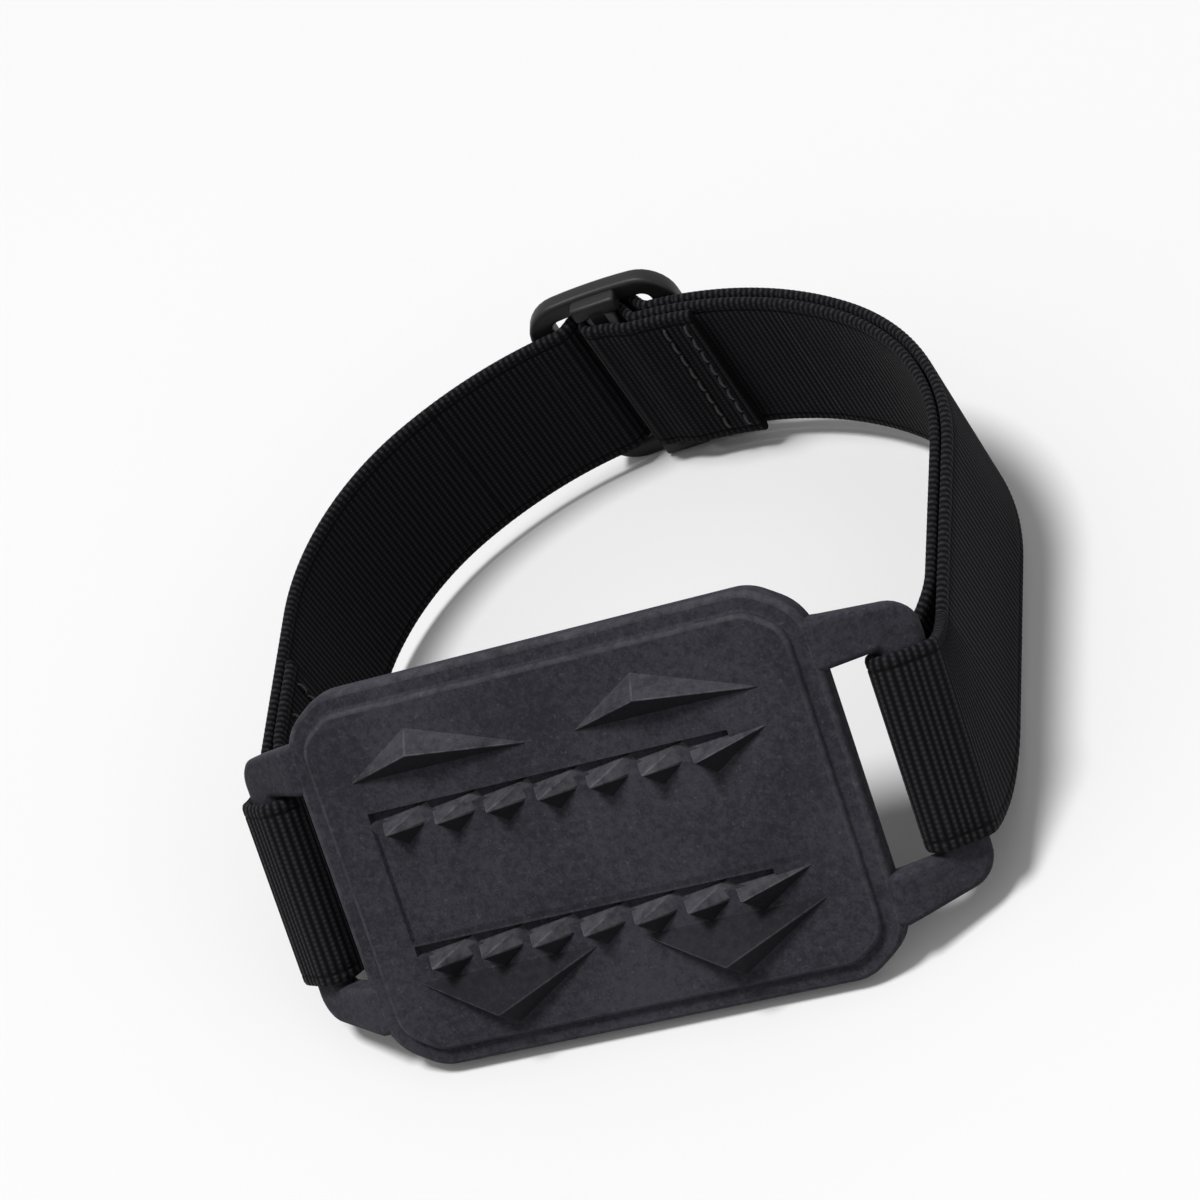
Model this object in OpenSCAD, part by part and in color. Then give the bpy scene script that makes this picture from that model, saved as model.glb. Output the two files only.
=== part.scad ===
// Ice cleat for the middle of a boot sole: a toothed tread plate held on by one elastic strap.
// The cleat leans back on its strap: the plate's heel edge and the slider's end stand on Z = 0.
// Plate frame: X across the foot, Y from the ground towards the boot, Z towards the toe.
// Strap frame: X across, Y away from the plate along the strap's plane, Z along the webbing's width.

/* [Tread plate] */
// Width of the plate between its two lugs
plate_w = 85; // [80:1:92]
// Length of the plate along the foot
plate_h = 60; // [57:1:66]
// Straight part of the toe edge and of the heel edge
straight_edge = 70; // [66:1:72]
// Length of each side edge
side_edge = 50; // [48:1:52]
// Radius of the plate's corners
corner_r = 8; // [5:0.5:8]
// Thickness of the flange
flange_t = 4; // [3:0.5:5]
// Width of the flange around the raised field
rim = 3; // [2:0.5:3.5]
// Height of the raised field over the flange
field_t = 1.2; // [0.8:0.2:2]

/* [Lugs] */
// Length of a lug along its own slope
lug_len = 15; // [14:0.5:17]
// Length of a lug along the foot, where it leaves the plate
lug_root = 47; // [45:0.5:48]
// Length of a lug's outer end along the foot
lug_end = 42; // [39:1:44]
// Angle by which a lug bends towards the boot
lug_angle = 33; // [25:1:40]
// Radius of a lug's outer corners
lug_corner_r = 5; // [3:0.5:6]
// Solid strip between the plate and the slot
slot_inset = 0.4; // [0.2:0.1:1.2]
// Width of the slot along the lug
slot_w = 7; // [6.6:0.1:7.6]
// Thickness of the bar that the strap goes round
bar_t = 4; // [3.4:0.2:4.4]

/* [Teeth] */
// Teeth in each of the two rows
tooth_count = 7; // [5:1:7]
// Distance from one tooth to the next
tooth_pitch = 8.4; // [8.2:0.1:8.8]
// Length of a tooth along its row
tooth_l = 7.2; // [6.6:0.1:7.6]
// Width of a tooth across its row
tooth_w = 5.2; // [4.4:0.1:5.6]
// Height of every tooth and wedge over the raised field
tooth_h = 4; // [3.2:0.1:5]
// Distance between the two rows
row_spacing = 21.4; // [20:0.2:22.6]
// Length of the long last tooth of a row
last_tooth_l = 12.8; // [10.4:0.4:13.6]
// Depth of the groove on the toe side of each row
groove_d = 1.1; // [0.6:0.1:1.3]
// Width of that groove
groove_w = 1.5; // [1.2:0.1:1.9]
// Height of the panel between the two rows
panel_t = 0.2; // [0.1:0.1:0.6]
// Length of a corner wedge
wedge_l = 30; // [27:0.5:31]
// Width of the two wedges near the toe
toe_wedge_w = 6.5; // [5.5:0.5:8.5]
// Width of the two wedges near the heel
heel_wedge_w = 9; // [7:0.5:9.5]
// Distance from the plate's middle to a wedge's inner line
wedge_line = 16; // [15.8:0.1:16.4]

/* [Strap] */
// Width of the elastic webbing
strap_w = 30; // [26:0.5:31]
// Thickness of the webbing
strap_t = 1.6; // [1.2:0.1:1.8]
// Angle by which the strap leans towards the toe
strap_lean = 36; // [30:1:40]
// Length over which the webbing turns from the bar to its lean
flex_len = 16; // [15:0.5:20]
// Straight side of the loop above that turn
leg_len = 32; // [28:1:40]
// Radius of the loop at its shoulders
shoulder_r = 42; // [38:1:44]
// Radius of the loop over the instep
instep_r = 66; // [63:1:72]
// Length of the webbing end sewn back at the fixed side
anchor_tail = 38; // [36:1:44]

/* [Slider] */
// Width of the slider along the strap
slider_w = 26; // [25:0.5:28]
// Thickness of the slider's frame
slider_t = 3; // [2.4:0.1:3.6]
// Width of the two bars across the strap
slider_rail = 4.3; // [3.8:0.1:4.6]
// Thickness of the frame beyond the webbing's edges
slider_end = 3.6; // [3:0.1:4.6]
// Radius of the slider's outer corners
slider_corner_r = 6; // [4:0.5:7]
// Width of the slider's middle bar
middle_bar_w = 5; // [4.4:0.1:5.4]
// Angle of the slider from the top of the instep, towards the fixed side
slider_angle = 4; // [0:0.5:6]

/* [Fits] */
// Room between the webbing's edges and what it passes through
edge_gap = 0.6; // [0.4:0.1:1]
// Room between two layers of webbing
layer_gap = 0.3; // [0.2:0.05:0.4]
// Room between webbing and a bar
bar_gap = 0.25; // [0.15:0.05:0.35]

/* [Hidden] */
$fn = 96;
arc_steps = 8;
arc_step = 4;
sink = 1.6;
overlap = 0.4;
round_rest = 0.05;

// Plate
field_z = flange_t + field_t;
chamfer_angle = atan2(plate_h - side_edge, plate_w - straight_edge);
slot_len = strap_w + 2 * edge_gap;
// The heel edge is drawn in a little at its middle, so that it stands on its two ends
heel_relief = 0.2;

// Bar section, in the lug's own frame and then in the plate frame
bar_w = lug_len - slot_inset - slot_w;
bar_r = bar_t / 2;
lug_dir = [cos(lug_angle), sin(lug_angle)];
lug_start = [plate_w / 2, -flange_t / 2];
bar_inner = lug_start + (slot_inset + slot_w + bar_r) * lug_dir;
bar_outer = lug_start + (lug_len - bar_r) * lug_dir;
wrap_r = bar_r + bar_gap + strap_t / 2;

// Teeth
row_side_shift = 1;
row_start = row_side_shift - (tooth_count * tooth_pitch + last_tooth_l - tooth_pitch) / 2;
row_shift = 0.4;
row_toe_line = [row_spacing / 2 - row_shift, -row_spacing / 2 - row_shift];
// Shares of a tooth's length and width, first at its peak and then round its base
tooth_peak = [0.25, 0.4];
start_corner = [0, 0.21];
heel_corner = [0.46, 1];
end_corner = [1, 0.46];
toe_corner = [0.87, 0];
last_corner = [1, -0.04];
groove_back = 0.9;
groove_toe = groove_w - groove_back;
groove_draft = 0.2;
groove_lead = 1.8;
panel_margin = 2;
panel_toe_inset = 1.6;
panel_heel_inset = 0.5;
wedge_gap = 7;
// Share of a wedge's length and width at its peak, and share of its length at its outer point
toe_peak = [0.4, 0.5];
toe_point = 0.38;
heel_peak = [0.42, 0.7];
heel_point = 0.46;

// Strap loop
layer_pitch = strap_t + layer_gap;
leg_x = bar_outer.x + wrap_r;
slot_x = bar_inner.x - wrap_r;
flex_r = flex_len / (strap_lean * PI / 180);
flex_y = bar_outer.y + flex_r * sin(strap_lean);
flex_z = flex_r * (1 - cos(strap_lean));
merge_len = 24;
instep_half = asin((leg_x - shoulder_r) / (instep_r - shoulder_r));
instep_y = leg_len - (instep_r - shoulder_r) * cos(instep_half);
loft_step = 2;

// Slider, with heights measured from the middle of the webbing under it
slider_l = strap_w + 2 * (edge_gap + slider_end);
window_l = strap_w + 2 * edge_gap;
window_w = slider_w - 2 * slider_rail;
frame_low = strap_t / 2 + layer_gap;
frame_high = frame_low + slider_t;
middle_bar_t = 2.6;
middle_bar_y = 0.1;
loop_r = middle_bar_t / 2 + bar_gap + strap_t / 2;
loop_x = middle_bar_w / 2 - middle_bar_t / 2;
hump_h = middle_bar_y + loop_r + layer_pitch;
hump_flat = loop_x + 1.4;
hump_foot = window_w / 2 - 0.4;
drop_end = hump_foot - 2.1;
rise_start = drop_end - 0.7;
fall_start = loop_x + 0.2;
slider_half = slider_w / 2 / instep_r * 180 / PI;
feed_angle = min(17, instep_half - slider_angle - slider_half - 2);
slider_at = 90 + slider_angle;
feed_end = slider_half + feed_angle;
tail_end = slider_w / 2 + 4;
path_steps = 12;
window_corner_r = 1.5;
cheek_wall = 0.6;
cheek_drop = 1;
cheek_w = middle_bar_w + 3;

// Seams: the size of a stitch, and how far each row lies from the webbing's end
stitch = [2.2, 0.6, 0.4];
stitch_count = 8;
stitch_pitch = 3.2;
anchor_rows = [9, 3];
end_rows = [6, 2];
stitch_gap = 0.05;

// Standing on the plate's heel edge and on the slider's end
instep_top = instep_y + instep_r;
function in_plate(along, across) = [
    flex_y + along * cos(strap_lean) - across * sin(strap_lean),
    flex_z + along * sin(strap_lean) + across * cos(strap_lean)
];
heel_edge = [0, -plate_h / 2];
slider_foot = in_plate(instep_top, -slider_l / 2);
stand = atan2(slider_foot.y - heel_edge.y, slider_foot.x - heel_edge.x);
function depth_of(point) = point.x * cos(stand) + point.y * sin(stand);
front = min(
    depth_of([-flange_t, -plate_h / 2]),
    depth_of([-field_z, rim - plate_h / 2]),
    depth_of([-field_z - tooth_h, -wedge_line - heel_wedge_w * heel_peak.y])
);
hump_top = instep_top + hump_h + strap_t / 2;
back = max(
    depth_of(in_plate(hump_top, -strap_w / 2)),
    depth_of(in_plate(hump_top, strap_w / 2)),
    depth_of(in_plate(instep_top + frame_high, -slider_l / 2))
);

// Corner b of a polygon replaced by an arc that touches the edges to a and to c
function corner_arc(a, b, c, r) =
    let (
        u = (a - b) / norm(a - b),
        v = (c - b) / norm(c - b),
        half = acos(u * v) / 2,
        centre = b + (u + v) / norm(u + v) * r / sin(half),
        first = b + u * r / tan(half) - centre,
        start = atan2(first.y, first.x),
        turn = (cross(u, v) < 0 ? 1 : -1) * (180 - 2 * half)
    )
    [for (i = [0:arc_steps])
        let (a = start + turn * i / arc_steps)
        centre + r * [cos(a), sin(a)]];

function rounded(points, r) =
    let (n = len(points))
    [for (i = [0:n - 1]) each corner_arc(points[(i + n - 1) % n], points[i], points[(i + 1) % n], r)];

function box_corners(w, h) = [[-w / 2, -h / 2], [w / 2, -h / 2], [w / 2, h / 2], [-w / 2, h / 2]];

function smooth(t) = let (s = min(max(t, 0), 1)) s * s * (3 - 2 * s);

// Outline of the plate, drawn in by a margin
function plate_points(margin) =
    let (
        edge = straight_edge / 2 - margin * tan(chamfer_angle / 2),
        side = side_edge / 2 - margin * tan(45 - chamfer_angle / 2),
        w = plate_w / 2 - margin,
        h = plate_h / 2 - margin
    )
    [[-edge, -h], [edge, -h], [w, -side], [w, side], [edge, h], [-edge, h], [-w, side], [-w, -side]];

function flange_points() =
    let (points = rounded(plate_points(0), corner_r))
    concat(
        [for (i = [0:arc_steps]) points[i]],
        [[0, heel_relief - plate_h / 2]],
        [for (i = [arc_steps + 1:len(points) - 1]) points[i]]
    );

// Closed outline of a band of the given width, along a middle line
function path_dir(path, i) =
    let (last = len(path) - 1)
    i == 0 ? 4 * path[1] - path[2] - 3 * path[0]
    : i == last ? 3 * path[last] - 4 * path[last - 1] + path[last - 2]
    : path[i + 1] - path[i - 1];

function path_normal(path, i) =
    let (d = path_dir(path, i))
    [-d.y, d.x] / norm(d);

function band_outline(path, width) =
    let (last = len(path) - 1)
    concat(
        [for (i = [0:last]) path[i] + path_normal(path, i) * width / 2],
        [for (i = [last:-1:0]) path[i] - path_normal(path, i) * width / 2]
    );

function arc_path(centre, r, from, to) =
    let (n = ceil(abs(to - from) / arc_step))
    [for (i = [0:n])
        let (a = from + (to - from) * i / n)
        centre + r * [cos(a), sin(a)]];

// A point given by its distance along the instep and its height over the webbing
function on_instep(along, height) =
    let (a = along / instep_r * 180 / PI)
    (instep_r + height) * [sin(a), cos(a)];

// Places
module standing() {
    translate([0, -(front + back) / 2, plate_h / 2 * cos(stand)])
        rotate([-stand, 0, 0])
            children();
}

module strap_plane() {
    translate([0, flex_y, flex_z])
        rotate([strap_lean, 0, 0])
            children();
}

module slider_place() {
    strap_plane()
        translate([0, instep_y, 0])
            rotate([0, 0, slider_angle])
                children();
}

module tread_face() {
    rotate([90, 0, 0])
        children();
}

module both_sides() {
    children();
    mirror([1, 0, 0])
        children();
}

// Webbing that bends round the Z axis, along an arc and along any middle line
module webbing_turn(radius, from, to) {
    rotate([0, 0, from])
        rotate_extrude(angle = to - from)
            translate([radius - strap_t / 2, -strap_w / 2])
                square([strap_t, strap_w]);
}

module webbing_bent(path) {
    linear_extrude(strap_w, center = true)
        polygon(band_outline(path, strap_t));
}

// Tread plate
// A pyramid whose base is the given outline at Z = 0, with its faces carried on down into the plate
module pyramid(base, peak) {
    n = len(base);
    foot = [peak.x, peak.y];
    spread = (peak.z + sink) / peak.z;
    points = concat([for (p = base) let (q = foot + (p - foot) * spread) [q.x, q.y, -sink]], [peak]);
    sides = [for (i = [0:n - 1]) [(i + 1) % n, i, n]];
    polyhedron(points = points, faces = concat([[for (i = [0:n - 1]) i]], sides));
}

function tooth_spot(share, length) = [length * share.x, -tooth_w * share.y];

module tooth(ends) {
    base = concat([tooth_spot(start_corner, tooth_l), tooth_spot(heel_corner, tooth_l)], ends);
    peak = tooth_spot(tooth_peak, tooth_l);
    pyramid(base, [peak.x, peak.y, tooth_h]);
}

module tooth_row() {
    ends = [for (share = [end_corner, toe_corner]) tooth_spot(share, tooth_l)];
    last_ends = [tooth_spot(last_corner, last_tooth_l)];
    for (i = [0:tooth_count - 2])
        translate([row_start + i * tooth_pitch, 0, field_z])
            tooth(ends);
    translate([row_start + (tooth_count - 1) * tooth_pitch, 0, field_z])
        tooth(last_ends);
}

module row_groove() {
    translate([row_start - groove_lead, 0, field_z])
        rotate([90, 0, 90])
            linear_extrude(tooth_count * tooth_pitch)
                polygon([[-groove_back, -groove_d], [groove_toe, -groove_d],
                    [groove_toe + groove_draft, overlap], [-groove_back, overlap]]);
}

module panel() {
    toe_edge = row_toe_line[0] - panel_toe_inset;
    heel_edge = row_toe_line[1] + groove_toe + panel_heel_inset;
    translate([row_start - panel_margin, heel_edge, field_z - overlap])
        cube([2 * (panel_margin - row_start), toe_edge - heel_edge, overlap + panel_t]);
}

module wedge_pair(width, peak, point) {
    base = [[0, 0], [wedge_l, 0], [wedge_l * point, width]];
    for (x = [-wedge_gap / 2 - wedge_l, wedge_gap / 2])
        translate([x, wedge_line, field_z])
            pyramid(base, [wedge_l * peak.x, width * peak.y, tooth_h]);
}

// Flange and both lugs seen edge on: one strip, bent where the lugs start
module bent_strip() {
    mitre = flange_t / 2 * tan(lug_angle / 2);
    normal = [-lug_dir.y, lug_dir.x] * flange_t / 2;
    tip = lug_start + lug_len * lug_dir;
    right = [[plate_w / 2 + mitre, -flange_t], tip - normal, tip + normal, [plate_w / 2 - mitre, 0]];
    left = [for (i = [3:-1:0]) [-right[i].x, right[i].y]];
    linear_extrude(plate_h + 2 * overlap, center = true)
        polygon(concat(right, left));
}

module on_lug() {
    translate([lug_start.x, lug_start.y, 0])
        rotate([0, 0, lug_angle])
            rotate([90, 0, 0])
                children();
}

module lug_plan() {
    points = [[-rim, -lug_root / 2], [0, -lug_root / 2], [lug_len, -lug_end / 2],
        [lug_len, lug_end / 2], [0, lug_root / 2], [-rim, lug_root / 2]];
    outer = [for (i = [2:3]) each corner_arc(points[i - 1], points[i], points[i + 1], lug_corner_r)];
    linear_extrude(4 * flange_t, center = true)
        polygon(concat([points[0], points[1]], outer, [points[4], points[5]]));
}

module strap_window() {
    translate([slot_inset + lug_len, 0, 0])
        cube([2 * lug_len, slot_len, 4 * flange_t], center = true);
}

module strap_bar() {
    middle = (bar_inner + bar_outer) / 2;
    translate([middle.x, middle.y, 0])
        rotate([0, 0, lug_angle])
            linear_extrude(slot_len + 2 * overlap, center = true)
                polygon(rounded(box_corners(bar_w, bar_t), bar_r - round_rest));
}

module flange_and_lugs() {
    difference() {
        intersection() {
            bent_strip();
            union() {
                tread_face()
                    linear_extrude(4 * flange_t, center = true)
                        polygon(flange_points());
                both_sides()
                    on_lug()
                        lug_plan();
            }
        }
        both_sides()
            on_lug()
                strap_window();
    }
    both_sides()
        strap_bar();
}

module raised_field() {
    difference() {
        translate([0, 0, flange_t / 2])
            linear_extrude(field_z - flange_t / 2)
                polygon(rounded(plate_points(rim), corner_r - rim));
        for (y = row_toe_line)
            translate([0, y, 0])
                row_groove();
    }
    panel();
}

module tread_plate() {
    color("#2b2b2f")
        standing() {
            flange_and_lugs();
            tread_face() {
                raised_field();
                for (y = row_toe_line)
                    translate([0, y, 0])
                        tooth_row();
                wedge_pair(toe_wedge_w, toe_peak, toe_point);
                mirror([0, 1, 0])
                    wedge_pair(heel_wedge_w, heel_peak, heel_point);
            }
        }
}

// Webbing round the two bars
module bar_wrap() {
    slot_run = [for (i = [3:-1:1]) [slot_x, bar_inner.y + (bar_outer.y - bar_inner.y) * i / 3]];
    inner = arc_path(bar_inner, wrap_r, -180, lug_angle - 90);
    outer = arc_path(bar_outer, wrap_r, lug_angle - 90, 0);
    webbing_bent(concat(slot_run, inner, outer));
}

module strap_bar_wrap() {
    color("#1d1d20")
        standing()
            bar_wrap();
}

module strap_anchor_wrap() {
    color("#1d1d20")
        standing()
            mirror([1, 0, 0])
                bar_wrap();
}

// Sides of the loop: the outer webbing, and the inner webbing that comes out of the slot
module outer_side() {
    turn = arc_path([bar_outer.y, flex_r], flex_r, -90, strap_lean - 90);
    leg = [in_plate(leg_len / 2, 0), in_plate(leg_len, 0)];
    translate([leg_x, 0, 0])
        rotate([90, 0, 90])
            linear_extrude(strap_t, center = true)
                polygon(band_outline(concat(turn, leg), strap_w));
}

function lean_at(q) = strap_lean * min(q, flex_len) / flex_len;
function inner_x(q) = slot_x + (leg_x - layer_pitch - slot_x) * smooth(q / merge_len);
function inner_middle(q) =
    let (a = lean_at(q), leg = max(q - flex_len, 0))
    [
        inner_x(q),
        bar_outer.y + flex_r * sin(a) + leg * cos(strap_lean),
        flex_r * (1 - cos(a)) + leg * sin(strap_lean)
    ];
function inner_ring(q) =
    let (
        d = inner_middle(q + 0.01) - inner_middle(q - 0.01),
        across = [0, -sin(lean_at(q)), cos(lean_at(q))],
        out = cross(d / norm(d), across) * strap_t / 2,
        side = across * strap_w / 2,
        c = inner_middle(q)
    )
    [c - side - out, c + side - out, c + side + out, c - side + out];

module inner_side(length) {
    steps = ceil(length / loft_step);
    rings = [for (i = [0:steps]) inner_ring(length * i / steps)];
    sides = [for (i = [0:steps - 1], k = [0:3])
        let (a = 4 * i + k, b = 4 * i + (k + 1) % 4)
        each [[b, a, a + 4], [b, a + 4, b + 4]]];
    last = 4 * steps;
    caps = [[0, 1, 2, 3], [last + 3, last + 2, last + 1, last]];
    polyhedron(points = [for (r = rings) each r], faces = concat(caps, sides));
}

module strap_outer_side() {
    color("#1d1d20")
        standing()
            outer_side();
}

module strap_fixed_side() {
    color("#1d1d20")
        standing()
            mirror([1, 0, 0])
                outer_side();
}

module strap_return_side() {
    color("#1d1d20")
        standing()
            inner_side(flex_len + leg_len);
}

module strap_anchor_tail() {
    color("#1d1d20")
        standing()
            mirror([1, 0, 0])
                inner_side(anchor_tail);
}

// One row of stitches along Z, lying on the face at X = 0 and raised towards -X
module stitch_row() {
    for (i = [0:stitch_count - 1])
        translate([-stitch_gap - stitch.z / 2, 0, (i - (stitch_count - 1) / 2) * stitch_pitch])
            cube([stitch.z, stitch.y, stitch.x], center = true);
}

module anchor_seam() {
    color("#0f0f11")
        standing()
            mirror([1, 0, 0])
                strap_plane()
                    for (row = anchor_rows)
                        translate([leg_x, anchor_tail - row - flex_len, 0]) {
                            translate([-layer_pitch - strap_t / 2, 0, 0])
                                stitch_row();
                            translate([strap_t / 2, 0, 0])
                                mirror([1, 0, 0])
                                    stitch_row();
                        }
}

// Arch over the instep, for the outer layer and for the returning layer under it
module instep_arc(depth, from, to) {
    translate([0, instep_y, 0])
        webbing_turn(instep_r - depth, from, to);
}

// From the straight side over the shoulder, to an angle on the instep
module arch_run(depth, end) {
    shoulder = arc_path([leg_x - shoulder_r, leg_len], shoulder_r - depth, 0, 90 - instep_half);
    instep = arc_path([0, instep_y], instep_r - depth, 90 - instep_half, end);
    webbing_bent(concat(shoulder, [for (i = [1:len(instep) - 1]) instep[i]]));
}

module strap_instep_run() {
    color("#1d1d20")
        standing()
            strap_plane()
                mirror([1, 0, 0])
                    arch_run(0, 180 - slider_at - feed_end);
}

module adjusting_run(depth) {
    standing()
        strap_plane()
            arch_run(depth, slider_at - feed_end);
}

module strap_outer_run() {
    color("#1d1d20")
        adjusting_run(0);
}

module strap_return_run() {
    color("#1d1d20")
        adjusting_run(layer_pitch);
}

module strap_fixed_feed() {
    color("#1d1d20")
        standing()
            strap_plane()
                instep_arc(0, slider_at + slider_half, slider_at + feed_end);
}

module strap_outer_feed() {
    color("#1d1d20")
        standing()
            strap_plane()
                instep_arc(0, slider_at - feed_end, slider_at - slider_half);
}

module strap_return_feed() {
    color("#1d1d20")
        standing()
            strap_plane()
                instep_arc(layer_pitch, slider_at - feed_end, slider_at - slider_half);
}

// Webbing at the slider: over the middle bar, and its end sewn round that bar
function hump(along) = hump_h * (1 - smooth((abs(along) - hump_flat) / (hump_foot - hump_flat)));

module strap_slider_bend() {
    steps = 3 * path_steps;
    path = [for (i = [0:steps])
        let (along = slider_w * (i / steps - 0.5))
        on_instep(along, hump(along))];
    color("#1d1d20")
        standing()
            slider_place()
                webbing_bent(path);
}

function slope(from, to, x0, x1) = [for (i = [0:path_steps])
    let (t = i / path_steps)
    on_instep(x0 + (x1 - x0) * t, from + (to - from) * smooth(t))];

module strap_end_loop() {
    low = -2 * layer_pitch;
    under = middle_bar_y - loop_r;
    over = middle_bar_y + loop_r;
    tail = [for (i = [0:path_steps - 1])
        on_instep(tail_end + (rise_start - tail_end) * i / path_steps, low)];
    rise = slope(low, under, rise_start, -loop_x);
    round_bar = [for (i = [1:path_steps - 1])
        let (a = -90 - 180 * i / path_steps)
        on_instep(-loop_x + loop_r * cos(a), middle_bar_y + loop_r * sin(a))];
    fall = slope(over, -layer_pitch, fall_start, drop_end);
    lead = [for (i = [1:path_steps / 2])
        on_instep(drop_end + (slider_w / 2 - drop_end) * i / (path_steps / 2), -layer_pitch)];
    path = concat(tail, rise, round_bar, [on_instep(-loop_x, over)], fall, lead);
    color("#1d1d20")
        standing()
            slider_place()
                webbing_bent(path);
}

module end_seam() {
    color("#0f0f11")
        standing()
            slider_place()
                for (row = end_rows)
                    rotate([0, 0, 90 - (tail_end - row) / instep_r * 180 / PI])
                        translate([instep_r - 2 * layer_pitch - strap_t / 2, 0, 0])
                            stitch_row();
}

// Slider
module slider_prism(w, l, r) {
    rotate([-90, 0, 0])
        linear_extrude(instep_r + 2 * slider_w)
            polygon(rounded(box_corners(w, l), r));
}

module slider_shell(low, high) {
    rotate([0, 0, 90 - 2 * slider_half])
        rotate_extrude(angle = 4 * slider_half)
            translate([instep_r + low, -slider_l])
                square([high - low, 2 * slider_l]);
}

module slider_frame() {
    cheek_l = slider_end - cheek_wall;
    cheek_low = middle_bar_y - middle_bar_t / 2;
    cheek_high = frame_high - cheek_drop;
    bar_round = middle_bar_t / 2 - round_rest;
    color("#18181a")
        standing()
            slider_place() {
                difference() {
                    intersection() {
                        slider_shell(frame_low, frame_high);
                        slider_prism(slider_w, slider_l, slider_corner_r);
                    }
                    slider_prism(window_w, window_l, window_corner_r);
                }
                for (side = [-1, 1])
                    translate([0, instep_r + (cheek_low + cheek_high) / 2, side * (window_l + cheek_l) / 2])
                        cube([cheek_w, cheek_high - cheek_low, cheek_l], center = true);
                translate([0, instep_r + middle_bar_y, 0])
                    linear_extrude(window_l + 2 * overlap, center = true)
                        polygon(rounded(box_corners(middle_bar_w, middle_bar_t), bar_round));
            }
}

tread_plate();
strap_bar_wrap();
strap_anchor_wrap();
strap_fixed_side();
strap_anchor_tail();
anchor_seam();
strap_outer_side();
strap_return_side();
strap_instep_run();
strap_outer_run();
strap_return_run();
strap_fixed_feed();
strap_outer_feed();
strap_return_feed();
strap_slider_bend();
strap_end_loop();
end_seam();
slider_frame();
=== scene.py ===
import math

import bmesh
import bpy
from mathutils import Matrix, Vector


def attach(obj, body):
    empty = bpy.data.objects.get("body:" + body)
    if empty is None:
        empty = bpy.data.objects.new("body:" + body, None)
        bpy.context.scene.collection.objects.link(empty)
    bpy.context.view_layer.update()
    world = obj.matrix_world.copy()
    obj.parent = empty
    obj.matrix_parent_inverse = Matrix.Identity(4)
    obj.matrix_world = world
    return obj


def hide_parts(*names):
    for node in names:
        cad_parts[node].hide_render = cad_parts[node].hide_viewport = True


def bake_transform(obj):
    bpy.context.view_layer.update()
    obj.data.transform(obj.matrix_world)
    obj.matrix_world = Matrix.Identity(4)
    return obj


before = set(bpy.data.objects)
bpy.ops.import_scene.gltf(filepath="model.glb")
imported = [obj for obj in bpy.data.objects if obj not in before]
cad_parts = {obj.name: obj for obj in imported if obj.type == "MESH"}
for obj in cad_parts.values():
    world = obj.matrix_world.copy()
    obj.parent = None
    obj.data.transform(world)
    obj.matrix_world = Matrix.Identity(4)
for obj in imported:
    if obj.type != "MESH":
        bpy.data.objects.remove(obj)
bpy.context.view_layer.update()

# Sizes are in millimetres, in the plate's own frame:
# X across the foot, Y from the ground towards the foot, Z towards the toe
MM = 0.001

# Plate
PLATE_W = 85.0
PLATE_H = 60.0
STRAIGHT_EDGE = 70.0
SIDE_EDGE = 50.0
CORNER_R = 8.0
FLANGE_T = 4.0
FIELD_T = 1.2
FIELD = FLANGE_T + FIELD_T
RIM = 3.0
INNER_R = 0.8
FLANGE_R = 0.9
FOOT_R = 0.5
FIELD_R = 0.7
# Flat faces begin this far beyond a rounding, so that its shading ends there
HOLD = 0.08

# Rows of teeth, with the groove on the toe side of each. Corners and peak are shares of length and width
ROW_START = -30.6
ROW_LINES = (10.3, -11.1)
TOOTH_COUNT = 7
TOOTH_PITCH = 8.4
TOOTH_L = 7.2
TOOTH_W = 5.2
TOOTH_H = 4.0
TOOTH_ROOT = ((0, 0.21), (0.46, 1))
TOOTH_ENDS = ((1, 0.46), (0.87, 0))
TOOTH_PEAK = (0.25, 0.4)
LAST_TOOTH_L = 12.8
LAST_TOOTH_END = (1, -0.04)
TOOTH_EDGE_R = 0.2
SINK = 1.6
GROOVE_D = 1.1
GROOVE_LEAD = 1.8
GROOVE_BACK = 0.9
GROOVE_TOE = 0.75
GROOVE_DRAFT = 0.15

# Panel between the rows
PANEL_T = 0.2
PANEL_MARGIN = 2.0
PANEL_TOE_INSET = 1.6
PANEL_HEEL_INSET = 1.1
PANEL_DRAFT = 0.9

# Wedges: towards the toe or the heel, width, peak, point, and the marks of the roof and of the edges:
# above 0 dusty, with painted light, below 0 painted shade
WEDGE_L = 30.0
WEDGE_GAP = 7.0
WEDGE_LINE = 16.0
WEDGE_PAIRS = (
    (1, 6.5, (0.4, 0.5), 0.38, 0.28, 0.7),
    # The heel pair's roof is painted shadow of the row of teeth beside it, and its faces turned from the
    # toe are painted shade
    (-1, 9.0, (0.42, 0.7), 0.46, -0.7, 0.3),
)

# Marks of the mouldings, from -1, painted shade, to 1, dusty and light. Rounded rims are dusty; on teeth
# and wedges the lighter faces and edges turned to the toe are also painted light
# Roofs of the teeth are dusty and lighter as painted light; their edges carry a painted highlight
TOOTH_ROOF_DUST_AND_LIGHT = 0.5
TOOTH_EDGE_DUST_AND_HIGHLIGHT = 1.0
# Painted shade on the faces of teeth and wedges turned from the toe
SIDE_PAINTED_SHADE = -1.0
# Painted shade on the bevelled edges turned to the heel
HEEL_EDGE_PAINTED_SHADE = -0.7
ROUNDED_WEAR = 0.33
BLOCK_WEAR = 0.27
# Roofs and edges are the faces that turn to the toe by more than these; the faces turned away get painted
# shade
ROOF_TURN = 0.15
EDGE_TURN = -0.5

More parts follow.
